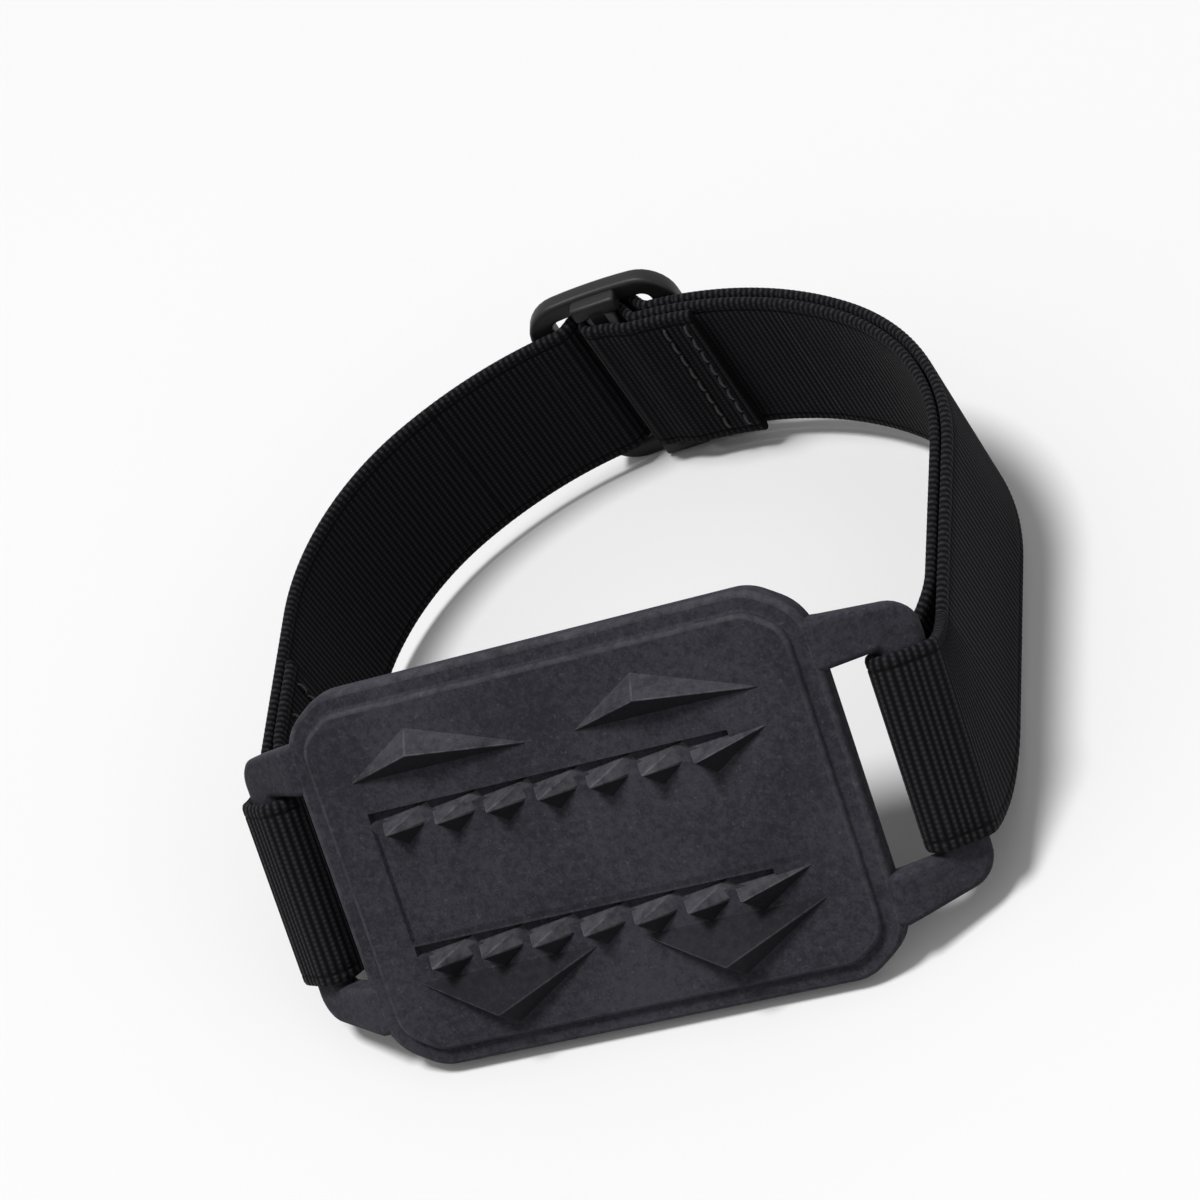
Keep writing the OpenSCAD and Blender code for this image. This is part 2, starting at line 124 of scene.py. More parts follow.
# Lugs, with their slots and bars. Inside the plate a lug is a little thinner than the flange
LUG_LEN = 15.0
LUG_ROOT = 47.0
LUG_END = 42.0
LUG_ANGLE = math.radians(33)
LUG_CORNER_R = 5.0
LUG_START = Vector((PLATE_W / 2, -FLANGE_T / 2))
ROOT_SHARE = 0.96
ARM_R = 0.9
ARM_STATIONS = (-3.5, 0.0, 1.5, 3.5, 5.5)
SLOT_L = 31.2
SLOT_INSET = 0.4
SLOT_W = 7.0
SLOT_END = SLOT_INSET + SLOT_W
SLOT_CORNER_R = 0.8
BAR_R = 2.0
BAR_EDGE_R = 1.95
BAR_STATIONS = (10, 5, 0, -5, -10)
BAR_GAP = 0.25

# Strap
STRAP_W = 30.0
STRAP_T = 1.6
LAYER_GAP = 0.3
LAYER_PITCH = STRAP_T + LAYER_GAP
LEAN = math.radians(36)
FLEX_LEN = 16.0
LEG_LEN = 32.0
MERGE_LEN = 24.0
SHOULDER_R = 42.0
INSTEP_R = 66.0
ANCHOR_TAIL = 38.0
FEED = math.radians(17)
COURSE_STEP = 0.5
LEAST_STEPS = 6

# Webbing: cross ribs with strands over them, and a sunk line along each edge
RIB = 1.05
RIB_STEPS = 4
RIB_DEPTH = 0.16
RIB_ROUND = 0.7
WARP = 0.75
COLUMNS = 14
EDGE_STEPS = 4
EDGE_LINE = 13.1
EDGE_LINE_R = 0.25
EDGE_LINE_D = 0.16
# Shares of a rib's depth: on the face, in the edge line, on the border beyond it and round the edge
FACE_RIB, LINE_RIB, BORDER_RIB, EDGE_RIB = 1.0, 0.2, 0.7, 0.4

# Slide adjuster. Heights are from the middle of the webbing that it rides on
SLIDER_W = 26.0
SLIDER_L = 38.4
SLIDER_CORNER_R = 6.0
SLIDER_ANGLE = math.radians(4)
FRAME_LOW = 1.1
FRAME_HIGH = 4.1
FRAME_EDGE_R = 0.7
FRAME_STEP = 2.5
WINDOW_W = 17.4
WINDOW_L = 31.2
WINDOW_CORNER_R = 1.5
CHEEK_W = 8.0
CHEEK_L = 3.0
CHEEK_LOW = -1.2
CHEEK_HIGH = 3.1
CHEEK_EDGE_R = 0.6
MIDDLE_BAR_W = 5.0
MIDDLE_BAR_T = 2.6
MIDDLE_BAR_Y = 0.1
MIDDLE_BAR_R = 1.25

# Webbing in the slider: over the middle bar, and the end sewn round it
HUMP_SPREAD = 1.4
HUMP_CLEAR = 0.4
HUMP_STEP = 0.4
DROP_CLEAR = 2.1
RISE_LEAD = 0.7
FALL_LEAD = 0.2
SLOPE_STEP = 0.05
LOOP_STEP = 0.06
TAIL_REACH = 4.0
TAIL_END = SLIDER_W / 2 + TAIL_REACH

# Sewing thread, and how far its rows are from the end of the webbing
STITCH_L = 2.2
STITCH_FLAT = 0.36
STITCH_COUNT = 8
STITCH_PITCH = 3.2
THREAD_R = 0.28
THREAD_TWIST = 0.45
ANCHOR_ROWS = (9, 3)
END_ROWS = (6, 2)

# Derived as in the part
lug_dir = Vector((math.cos(LUG_ANGLE), math.sin(LUG_ANGLE)))
bar_inner = LUG_START + (SLOT_END + BAR_R) * lug_dir
bar_outer = LUG_START + (LUG_LEN - BAR_R) * lug_dir
wrap_r = BAR_R + BAR_GAP + STRAP_T / 2
leg_x = bar_outer.x + wrap_r
slot_x = bar_inner.x - wrap_r
flex_r = FLEX_LEN / LEAN
flex_y = bar_outer.y + flex_r * math.sin(LEAN)
flex_z = flex_r * (1 - math.cos(LEAN))
instep_half = math.asin((leg_x - SHOULDER_R) / (INSTEP_R - SHOULDER_R))
instep_y = LEG_LEN - (INSTEP_R - SHOULDER_R) * math.cos(instep_half)
slider_half = SLIDER_W / 2 / INSTEP_R
slider_at = math.pi / 2 + SLIDER_ANGLE
feed_end = slider_half + FEED
loop_r = MIDDLE_BAR_T / 2 + BAR_GAP + STRAP_T / 2
loop_x = MIDDLE_BAR_W / 2 - MIDDLE_BAR_T / 2
hump_h = MIDDLE_BAR_Y + loop_r + LAYER_PITCH
hump_flat = loop_x + HUMP_SPREAD
hump_foot = WINDOW_W / 2 - HUMP_CLEAR
drop_end = hump_foot - DROP_CLEAR

# Plate frame, set in the model's frame in metres, and strap and slider frames, set in the plate frame
STAND = math.radians(34.6223)
STAND_AT = Vector((0, -41.6253, 24.6875))
plate_place = (
    Matrix.Translation(STAND_AT * MM) @ Matrix.Rotation(-STAND, 4, "X") @ Matrix.Scale(MM, 4)
)
strap_place = Matrix.Translation((0, flex_y, flex_z)) @ Matrix.Rotation(LEAN, 4, "X")
slider_place = (
    strap_place
    @ Matrix.Translation((0, instep_y, 0))
    @ Matrix.Rotation(SLIDER_ANGLE, 4, "Z")
)


class Value:
    """A socket of a finish. Sums on it add Math nodes."""

    def __init__(self, finish, socket):
        self.finish = finish
        self.socket = socket

    def other(self, output):
        """Another output of the same node."""
        return Value(self.finish, self.socket.node.outputs[output])

    def maths(self, operation, *values):
        settings = {"operation": operation}
        return self.finish.node("Math", settings, dict(enumerate(values)))

    def __add__(self, other):
        return self.maths("ADD", self, other)

    def __radd__(self, other):
        return self.maths("ADD", other, self)

    def __sub__(self, other):
        return self.maths("SUBTRACT", self, other)

    def __rsub__(self, other):
        return self.maths("SUBTRACT", other, self)

    def __mul__(self, other):
        return self.maths("MULTIPLY", self, other)

    def __rmul__(self, other):
        return self.maths("MULTIPLY", other, self)

    def __truediv__(self, other):
        return self.maths("DIVIDE", self, other)

    def __pow__(self, other):
        return self.maths("POWER", self, other)

    def wave(self):
        """From 0 to 1 and back, once for each whole number."""
        return 0.5 - 0.5 * self.maths("COSINE", self * math.tau)

    def whole(self):
        return self.maths("FLOOR", self)

    def between(self, low, high):
        settings = {"interpolation_type": "SMOOTHSTEP"}
        values = {"Value": self, "From Min": low, "From Max": high}
        return self.finish.node("MapRange", settings, values)


class Finish:
    """A material, or the world, with its nodes."""

    def __init__(self, owner, shader="Principled BSDF"):
        owner.use_nodes = True
        self.owner = owner
        self.tree = owner.node_tree
        self.shader = self.tree.nodes[shader]

    def node(self, kind, settings=None, values=None, output=0):
        made = self.tree.nodes.new("ShaderNode" + kind)
        for key, value in (settings or {}).items():
            setattr(made, key, value)
        for key, value in (values or {}).items():
            self.feed(made.inputs[key], value)
        return Value(self, made.outputs[output])

    def feed(self, socket, value):
        if isinstance(value, Value):
            self.tree.links.new(value.socket, socket)
        else:
            socket.default_value = value

    def set(self, **values):
        for key, value in values.items():
            self.feed(self.shader.inputs[key.replace("_", " ")], value)

    def noise(self, place, scale, detail=2.0, roughness=0.5):
        values = {"Vector": place, "Scale": scale, "Detail": detail, "Roughness": roughness}
        return self.node("TexNoise", None, values)

    def mix(self, share, first, second):
        return self.node("Mix", {"data_type": "RGBA"}, {0: share, 6: first, 7: second}, 2)

    def end(self, share, other):
        """Mixes another shader in before the output."""
        surface = Value(self, self.shader.outputs[0])
        output = surface.socket.links[0].to_socket
        self.feed(output, self.node("MixShader", None, {0: share, 1: surface, 2: other}))

    def bump(self, height, strength, distance):
        values = {"Height": height, "Strength": strength, "Distance": distance}
        return self.node("Bump", None, values)


def shade(grey, blue=1.0):
    """A grey, with its blue times a share."""
    return (grey, grey, grey * blue, 1.0)


def moulded_rubber():
    f = Finish(bpy.data.materials.new("moulded_rubber"))
    place = f.node("TexCoord", output="Object")
    cloud = f.noise(place, scale=55, detail=4, roughness=0.6)
    blotch = f.noise(place, scale=850, detail=3, roughness=0.6)
    grain = f.noise(place, scale=2300, detail=3, roughness=0.65)
    speck = f.noise(place, scale=1100, detail=2, roughness=0.7).between(0.62, 0.72)
    wear_and_shading = f.node("Attribute", {"attribute_name": "wear_and_painted_shading"}, output="Fac")
    patchy = f.noise(place, scale=420, detail=3, roughness=0.65).between(0.2, 0.75)
    # Lighter where marked above 0: dusty rounded rims, and painted light on the faces and edges of teeth
    # and wedges turned to the toe
    dust_and_painted_light = wear_and_shading.between(0, 1) * patchy
    # Painted shade where marked below 0: faces and edges turned from the toe
    painted_shade = wear_and_shading.between(0, -1)
    mottle = (0.35 * cloud + 0.35 * blotch + 0.3 * grain).between(0.38, 0.62)
    base = f.mix(mottle, shade(0.024, 1.26), shade(0.05, 1.22))
    base = f.mix(speck * 0.3, base, shade(0.11, 1.1))
    # Dusty rims, and painted light and painted highlights on the teeth and wedges
    base = f.mix(dust_and_painted_light * 0.7, base, shade(0.16, 1.08))
    # Painted shade
    base = f.mix(painted_shade * 0.75, base, shade(0.006, 1.2))
    f.set(
        Base_Color=base,
        Roughness=0.56 + 0.16 * grain - 0.08 * dust_and_painted_light,
        Normal=f.bump(grain * 0.6 + speck * 0.4, strength=0.35, distance=0.12 * MM),
        Specular_IOR_Level=0.05,
    )
    return f.owner


def woven_elastic():
    f = Finish(bpy.data.materials.new("woven_elastic"))
    run = f.node("UVMap", {"uv_map": "webbing"})
    along = f.node("SeparateXYZ", None, {"Vector": run})
    across = along.other(1)
    rib = along / RIB
    crown = rib.wave()
    strand = (across / WARP + 0.5 * rib.whole()).wave()
    fuzz = f.noise(f.node("TexCoord", output="Object"), scale=3200, detail=2, roughness=0.6)
    lie = crown ** 1.5 * (0.48 + 0.52 * strand)
    base = f.mix(lie * (0.55 + 0.45 * fuzz), shade(0.0025, 1.1), shade(0.042, 1.2))
    from_middle = across.maths("ABSOLUTE", across)
    edge_line = from_middle.maths("COMPARE", from_middle, EDGE_LINE, EDGE_LINE_R)
    base = f.mix(edge_line * 0.75, base, shade(0.0015))
    f.set(
        Base_Color=base,
        Roughness=0.72 + 0.18 * fuzz,
        Normal=f.bump(lie * 0.8 + fuzz * 0.2, strength=0.55, distance=0.22 * MM),
        Specular_IOR_Level=0.06,
        Sheen_Weight=0.03,
        Sheen_Roughness=0.45,
    )
    return f.owner


def twisted_thread():
    f = Finish(bpy.data.materials.new("twisted_thread"))
    place = f.node("TexCoord", output="Object")
    x = f.node("SeparateXYZ", None, {"Vector": place})
    y, z = x.other(1), x.other(2)
    ply = ((x + y * 0.6 + z) / (THREAD_TWIST * MM)).wave()
    fuzz = f.noise(place, scale=4200)
    base = f.mix(ply * 0.7 + fuzz * 0.3, shade(0.004), shade(0.026, 1.06))
    f.set(
        Base_Color=base,
        Roughness=0.55 + 0.2 * fuzz,
        Normal=f.bump(ply, strength=0.5, distance=0.12 * MM),
    )
    return f.owner


def satin_plastic():
    f = Finish(bpy.data.materials.new("satin_plastic"))
    place = f.node("TexCoord", output="Object")
    cloud = f.noise(place, scale=90, detail=3, roughness=0.6)
    grain = f.noise(place, scale=2600, detail=2, roughness=0.6)
    wear_and_shading = f.node("Attribute", {"attribute_name": "wear_and_painted_shading"}, output="Fac")
    rub = 1.5 * wear_and_shading * f.noise(place, scale=500, detail=3).between(0.3, 0.75)
    base = f.mix(cloud, shade(0.006, 1.06), shade(0.011, 1.08))
    base = f.mix(rub * 0.35, base, shade(0.06))
    f.set(
        Base_Color=base,
        Roughness=0.36 + 0.12 * cloud + 0.08 * grain - 0.08 * rub,
        Normal=f.bump(grain, strength=0.2, distance=0.08 * MM),
        Specular_IOR_Level=0.25,
    )
    return f.owner


def placed(bm, name, finish):
    """An object at the origin, with a bmesh as its mesh."""
    mesh = bpy.data.meshes.new(name)
    bm.to_mesh(mesh)
    bm.free()
    mesh.materials.append(finish)
    made = bpy.data.objects.new(name, mesh)
    bpy.context.scene.collection.objects.link(made)
    return made


def keep(bm, name, finish):
    """Makes a bmesh a piece of the object."""
    piece = placed(bm, name, finish)
    return piece


# Marks a face: above 0 rubbed and dusty, with painted light on teeth and wedges turned to the toe; below
# 0 painted shade
def set_wear_and_shading(face, wear_and_shading, share):
    for loop in face.loops:
        loop[wear_and_shading] = share


# Rounded outlines and sections
SECTION_STEPS = 3
# Columns of a section that lie on its two upper roundings
UPPER_EDGES = (1, 2, 3, 7, 8, 9)


def corner_arc(a, b, c, radius, steps=8):
    """Corner b of an outline as an arc that touches the edges to a and c."""
    u, v = (a - b).normalized(), (c - b).normalized()
    half = u.angle(v) / 2
    centre = b + (u + v).normalized() * radius / math.sin(half)
    first = b + u * radius / math.tan(half) - centre
    turn = math.copysign(math.pi - 2 * half, -u.cross(v))
    start = math.atan2(first.y, first.x)
    turns = [start + turn * i / steps for i in range(steps + 1)]
    return [centre + radius * Vector((math.cos(t), math.sin(t))) for t in turns]


def rounded(corners, radius):
    """A closed outline with an arc at each corner."""
    points = [Vector(p) for p in corners]
    outline = []
    for i, point in enumerate(points):
        outline += corner_arc(points[i - 1], point, points[(i + 1) % len(points)], radius)
    return outline


def rounded_section(width, half, r):
    """Places round the section of a flat bar: across from its inner edge, and up from its middle."""
    section = []
    for k, (mid, rise) in enumerate(((width - r, 1), (r, 1), (r, -1), (width - r, -1))):
        for i in range(SECTION_STEPS + 1):
            a = math.pi / 2 * (k + i / SECTION_STEPS)
            section.append((mid + r * math.cos(a), rise * (half - r) + r * math.sin(a)))
        if k in (0, 2):
            section.append((mid - rise * HOLD, rise * half))
            section.append((r + HOLD if rise > 0 else width - r - HOLD, rise * half))
    return section


def bridged(bm, rings, wear_and_shading, rubbed=(), rubbed_columns=()):
    """Skins closed rings of as many points each. The strips and columns named are marked as rubbed."""
    for k, (low, high) in enumerate(zip(rings, rings[1:])):
        for i in range(len(low)):
            face = bm.faces.new((low[i - 1], low[i], high[i], high[i - 1]))
            face.smooth = True
            if k in rubbed or i in rubbed_columns:
                set_wear_and_shading(face, wear_and_shading, ROUNDED_WEAR)


# The moulded plate: heights are measured from its inner face, towards the ground
QUARTER = [math.radians(90) * i / 4 for i in range(5)]


def plate_outline(margin):
    """The plate's outline, drawn in by a margin."""
    chamfer = math.atan2(PLATE_H - SIDE_EDGE, PLATE_W - STRAIGHT_EDGE)
    edge = STRAIGHT_EDGE / 2 - margin * math.tan(chamfer / 2)
    side = SIDE_EDGE / 2 - margin * math.tan(math.pi / 4 - chamfer / 2)
    w, h = PLATE_W / 2 - margin, PLATE_H / 2 - margin
    right = [(edge, -h), (w, -side), (w, side), (edge, h)]
    return rounded(right + [(-x, y) for x, y in reversed(right)], CORNER_R - margin)


def plate_body(bm, wear_and_shading):
    """Flange and raised field: one rounded profile all round, and the field cut by its grooves."""
    inner = [(INNER_R * (1 - math.sin(t)), INNER_R * (1 - math.cos(t))) for t in QUARTER]
    low = FLANGE_T - FLANGE_R
    flange = [(FLANGE_R * (1 - math.cos(t)), low + FLANGE_R * math.sin(t)) for t in QUARTER]
    foot = [
        (RIM - FOOT_R * (1 - math.sin(t)), FLANGE_T + FOOT_R * (1 - math.cos(t))) for t in QUARTER
    ]
    low = FIELD - FIELD_R
    field = [(RIM + FIELD_R * (1 - math.cos(t)), low + FIELD_R * math.sin(t)) for t in QUARTER]
    profile = (
        [(INNER_R + HOLD, 0)] + inner + flange + [(FLANGE_R + HOLD, FLANGE_T)]
        + [(RIM - FOOT_R - HOLD, FLANGE_T)] + foot + field[1:] + [(RIM + FIELD_R + HOLD, FIELD)]
    )
    rings = []
    for margin, height in profile:
        rings.append([bm.verts.new((x, -height, z)) for x, z in plate_outline(margin)])
    # The first strip on the rounding of the inner edge, the flange edge and the field edge
    first_strips = (1, 6, 17)
    convex = {first + i for first in first_strips for i in range(len(QUARTER) - 1)}
    bridged(bm, rings, wear_and_shading, convex)
    bm.faces.new(rings[0])
    bm.faces.new(rings[-1])
    cut_field(bm)


def field_faces(bm, low=None, high=None):
    """Flat faces at the field's height, all of them or those inside a box of X and Z."""
    flat = [f for f in bm.faces if all(abs(v.co.y + FIELD) < 1e-4 for v in f.verts)]
    if low is None:
        return flat
    middles = [(f, f.calc_center_median()) for f in flat]
    return [f for f, c in middles if low[0] < c.x < high[0] and low[1] < c.z < high[1]]


def cut_field(bm):
    """Sinks the groove on the toe side of each row, and raises the panel between the rows."""
    start = ROW_START - GROOVE_LEAD
    stop = start + TOOTH_COUNT * TOOTH_PITCH
    grooves = [(line - GROOVE_BACK, line + GROOVE_TOE) for line in ROW_LINES]
    panel_low = (ROW_START - PANEL_MARGIN, ROW_LINES[1] + PANEL_HEEL_INSET)
    panel_high = (PANEL_MARGIN - ROW_START, ROW_LINES[0] - PANEL_TOE_INSET)
    lines = [z for groove in grooves for z in groove] + [panel_low[1], panel_high[1]]
    cuts = [((x, 0, 0), (1, 0, 0)) for x in (panel_low[0], start, stop, panel_high[0])]
    cuts += [((0, 0, z), (0, 0, 1)) for z in lines]
    for spot, across in cuts:
        faces = field_faces(bm)
        edges = {e for f in faces for e in f.edges}
        verts = {v for f in faces for v in f.verts}
        geom = faces + list(edges) + list(verts)
        bmesh.ops.bisect_plane(bm, geom=geom, dist=1e-5, plane_co=spot, plane_no=across)
    bm.normal_update()
    panel = field_faces(bm, panel_low, panel_high)
    sunk = [f for low, high in grooves for f in field_faces(bm, (start, low), (stop, high))]
    bmesh.ops.recalc_face_normals(bm, faces=bm.faces)
    for faces, draft, depth in ((sunk, GROOVE_DRAFT, -GROOVE_D), (panel, PANEL_DRAFT, PANEL_T)):
        bmesh.ops.inset_region(
            bm, faces=faces, thickness=draft, depth=depth, use_even_offset=True, use_boundary=True
        )


def pyramid(bm, wear_and_shading, place, base, peak, roof_dust_and_shading, edge_dust_and_shading):
    """A tooth or wedge: base corners at the field's height, carried down into the plate."""
    spread = (peak[2] + SINK) / peak[2]
    foot = Vector(peak[:2])
    ring = [foot + (Vector(p) - foot) * spread for p in base]
    low = [bm.verts.new((x, y, -SINK)) for x, y in ring]
    tip = bm.verts.new(peak)
    bm.faces.new(low)
    sides = [bm.faces.new((low[i - 1], low[i], tip)) for i in range(len(low))]
    bmesh.ops.transform(bm, verts=low + [tip], matrix=place)
    bmesh.ops.recalc_face_normals(bm, faces=sides)
    # Faces turned to the toe get the roof's mark, the others painted shade
    for face in sides:
        set_wear_and_shading(face, wear_and_shading, roof_dust_and_shading if face.normal.z > ROOF_TURN else SIDE_PAINTED_SHADE)
    made = bmesh.ops.bevel(
        bm, geom=list(tip.link_edges), offset=TOOTH_EDGE_R, offset_type="OFFSET", segments=2, profile=0.5,
        affect="EDGES", clamp_overlap=True, material=-1,
    )
    # Bevelled edges get the edge's mark, dusty with a painted highlight, and painted shade where they
    # turn to the heel
    for face in made["faces"]:
        face.smooth = True
        face.normal_update()
        set_wear_and_shading(face, wear_and_shading, edge_dust_and_shading if face.normal.z > EDGE_TURN else HEEL_EDGE_PAINTED_SHADE)


def on_field(x, z, flip=1):
    """From a tooth's own frame (along its row, towards the toe, up) to the plate frame."""
    return Matrix(((1, 0, 0, x), (0, 0, -1, -FIELD), (0, flip, 0, z), (0, 0, 0, 1)))


def tooth_corners(length, *shares):
    return [(length * along, -TOOTH_W * across) for along, across in shares]


def teeth(bm, wear_and_shading):
    root = tooth_corners(TOOTH_L, *TOOTH_ROOT)
    ends = tooth_corners(TOOTH_L, *TOOTH_ENDS)
    last_end = tooth_corners(LAST_TOOTH_L, LAST_TOOTH_END)
    peak = tooth_corners(TOOTH_L, TOOTH_PEAK)[0] + (TOOTH_H,)
    for line in ROW_LINES:
        for i in range(TOOTH_COUNT):
            place = on_field(ROW_START + i * TOOTH_PITCH, line)
            base = root + (ends if i < TOOTH_COUNT - 1 else last_end)
            pyramid(bm, wear_and_shading, place, base, peak, TOOTH_ROOF_DUST_AND_LIGHT, TOOTH_EDGE_DUST_AND_HIGHLIGHT)


def wedges(bm, wear_and_shading):
    for flip, width, peak, point, roof_dust_and_shading, edge_dust_and_shading in WEDGE_PAIRS:
        base = [(0, 0), (WEDGE_L, 0), (WEDGE_L * point, width)]
        tip = (WEDGE_L * peak[0], width * peak[1], TOOTH_H)
        for x in (-WEDGE_GAP / 2 - WEDGE_L, WEDGE_GAP / 2):
            place = on_field(x, flip * WEDGE_LINE, flip)
            pyramid(bm, wear_and_shading, place, base, tip, roof_dust_and_shading, edge_dust_and_shading)


def lug_spot(side, along, lift, z):
    """A point of a lug: along its slope, up from its middle, and towards the toe."""
    if along < 0:
        x, y = LUG_START.x + along, LUG_START.y + ROOT_SHARE * lift
    elif along == 0:
        x, y = LUG_START.x - lift * math.tan(LUG_ANGLE / 2), LUG_START.y + lift
    else:
        x, y = LUG_START + along * lug_dir + lift * Vector((-lug_dir.y, lug_dir.x))
    return side * x, y, z


def lug_stations():
    """From one arm's root round the bar to the other's: inner edge, outer edge, edge radius."""
    outer = [Vector((0, LUG_ROOT / 2)), Vector((LUG_LEN, LUG_END / 2)), Vector((LUG_LEN, -LUG_END / 2))]
    taper = (outer[1].y - outer[0].y) / LUG_LEN
    half, r = SLOT_L / 2, SLOT_CORNER_R
    turn = corner_arc(*outer, LUG_CORNER_R)
    arm = []
    for along in ARM_STATIONS:
        edge = outer[0].y + taper * max(along, 0)
        arm.append((Vector((along, half)), Vector((along, edge)), ARM_R))
    for i, point in enumerate(turn):
        share = i / (len(turn) - 1)
        a = math.pi / 2 * (1 - share)
        inner = Vector((SLOT_END - r + r * math.cos(a), half - r + r * math.sin(a)))
        arm.append((inner, point, ARM_R + (BAR_EDGE_R - ARM_R) * share))
    bar = [(Vector((SLOT_END, z)), Vector((LUG_LEN, z)), BAR_EDGE_R) for z in BAR_STATIONS]
    flip = Vector((1, -1))
    return arm + bar + [(inner * flip, edge * flip, r) for inner, edge, r in reversed(arm)]


def lug(bm, wear_and_shading, side):
    rings = []
    for inner, edge, r in lug_stations():
        across = edge - inner
        width = across.length
        ring = []
        for reach, lift in rounded_section(width, FLANGE_T / 2, r):
            along, z = inner + across * (reach / width)
            ring.append(bm.verts.new(lug_spot(side, along, lift, z)))
        rings.append(ring)
    bridged(bm, rings, wear_and_shading)
    bm.faces.new(rings[0])
    bm.faces.new(rings[-1])


def toothed_plate():
    bm = bmesh.new()
    wear_and_shading = bm.loops.layers.float.new("wear_and_painted_shading")
    plate_body(bm, wear_and_shading)
    for side in (-1, 1):
        lug(bm, wear_and_shading, side)
    teeth(bm, wear_and_shading)
    wedges(bm, wear_and_shading)
    bmesh.ops.transform(bm, verts=bm.verts, matrix=plate_place)
    bmesh.ops.recalc_face_normals(bm, faces=bm.faces)
    piece = keep(bm, "toothed_plate", finishes["rubber"])
    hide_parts("tread_plate")
    return piece


# The slide adjuster: X along the strap, Y away from the foot, Z across the strap
def box_corners(width, length):
    x, y = width / 2, length / 2
    return [(x, -y), (x, y), (-x, y), (-x, -y)]


def slider_ring(bm, wear_and_shading):
    """The outer frame, bowed with the instep, with rounded edges inside and out."""
    outer = rounded(box_corners(SLIDER_W, SLIDER_L), SLIDER_CORNER_R)
    inner = rounded(box_corners(WINDOW_W, WINDOW_L), WINDOW_CORNER_R)
    middle = INSTEP_R + (FRAME_LOW + FRAME_HIGH) / 2
    spots = list(zip(inner, outer))
    stations = []
    for (a, b), (c, d) in zip(spots, spots[1:] + spots[:1]):
        count = math.ceil((d - b).length / FRAME_STEP)
        stations += [(a.lerp(c, i / count), b.lerp(d, i / count)) for i in range(count)]
    rings = []
    for start, edge in stations:
        across = edge - start
        ring = []
        for reach, lift in rounded_section(across.length, (FRAME_HIGH - FRAME_LOW) / 2, FRAME_EDGE_R):
            x, z = start + across * (reach / across.length)
            ring.append(bm.verts.new((x, math.sqrt((middle + lift) ** 2 - x * x), z)))
        rings.append(ring)
    bridged(bm, rings + rings[:1], wear_and_shading, rubbed_columns=UPPER_EDGES)


def rounded_block(bm, wear_and_shading, low, high, radius, lengthwise=False):
    """A box between two corners, with all its edges rounded or only those along Z."""
    low, high = Vector(low), Vector(high)
    corners = bmesh.ops.create_cube(bm, size=1)["verts"]
    bmesh.ops.scale(bm, verts=corners, vec=high - low)
    bmesh.ops.translate(bm, verts=corners, vec=(low + high) / 2)
    edges = list({e for v in corners for e in v.link_edges})
    if lengthwise:
        edges = [e for e in edges if abs(e.verts[0].co.z - e.verts[1].co.z) > 2 * radius]
    made = bmesh.ops.bevel(
        bm, geom=edges, offset=radius, offset_type="OFFSET", segments=4, profile=0.5,
        affect="EDGES", clamp_overlap=True, material=-1,
    )
    for face in made["faces"]:
        face.smooth = True
        set_wear_and_shading(face, wear_and_shading, BLOCK_WEAR)


def slide_adjuster():
    bm = bmesh.new()
    wear_and_shading = bm.loops.layers.float.new("wear_and_painted_shading")
    slider_ring(bm, wear_and_shading)
    half, end = CHEEK_W / 2, WINDOW_L / 2
    low, high = INSTEP_R + CHEEK_LOW, INSTEP_R + CHEEK_HIGH
    for near, far in ((end, end + CHEEK_L), (-end - CHEEK_L, -end)):
        rounded_block(bm, wear_and_shading, (-half, low, near), (half, high, far), CHEEK_EDGE_R)
    half, tall, reach = MIDDLE_BAR_W / 2, MIDDLE_BAR_T / 2, end + CHEEK_L / 2
    level = INSTEP_R + MIDDLE_BAR_Y
    low, high = (-half, level - tall, -reach), (half, level + tall, reach)
    rounded_block(bm, wear_and_shading, low, high, MIDDLE_BAR_R, lengthwise=True)
    bmesh.ops.transform(bm, verts=bm.verts, matrix=plate_place @ slider_place)
    bmesh.ops.recalc_face_normals(bm, faces=bm.faces)
    piece = keep(bm, "slide_adjuster", finishes["slider"])
    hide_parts("slider_frame")
    return piece


# The strap's course: points in the plate frame, each with the direction of the webbing's width
def arc(centre, radius, start, end):
    steps = max(LEAST_STEPS, round(abs(end - start) * radius / COURSE_STEP))
    turns = [start + (end - start) * i / steps for i in range(steps + 1)]
    return [(centre[0] + radius * math.cos(a), centre[1] + radius * math.sin(a)) for a in turns]


def in_frame(place, points):
    width = place.to_3x3() @ Vector((0, 0, 1))
    return [(place @ Vector((x, y, 0)), width) for x, y in points]


def smooth(t):
    t = min(max(t, 0.0), 1.0)
    return t * t * (3 - 2 * t)


def leaning(q, x):
    """A point of a side of the loop, a distance q up from the bar."""
    a = LEAN * min(q, FLEX_LEN) / FLEX_LEN
    leg = max(q - FLEX_LEN, 0)
    point = Vector((
        x,
        bar_outer.y + flex_r * math.sin(a) + leg * math.cos(LEAN),
        flex_r * (1 - math.cos(a)) + leg * math.sin(LEAN),
    ))
    return point, Vector((0, -math.sin(a), math.cos(a)))


def steps_of(length, step=COURSE_STEP):
    count = math.ceil(length / step)
    return [length * i / count for i in range(count + 1)]


def outer_side():
    return [leaning(q, leg_x) for q in steps_of(FLEX_LEN + LEG_LEN)]


def inner_side(length):
    spread = leg_x - LAYER_PITCH - slot_x
    return [leaning(q, slot_x + spread * smooth(q / MERGE_LEN)) for q in steps_of(length)]


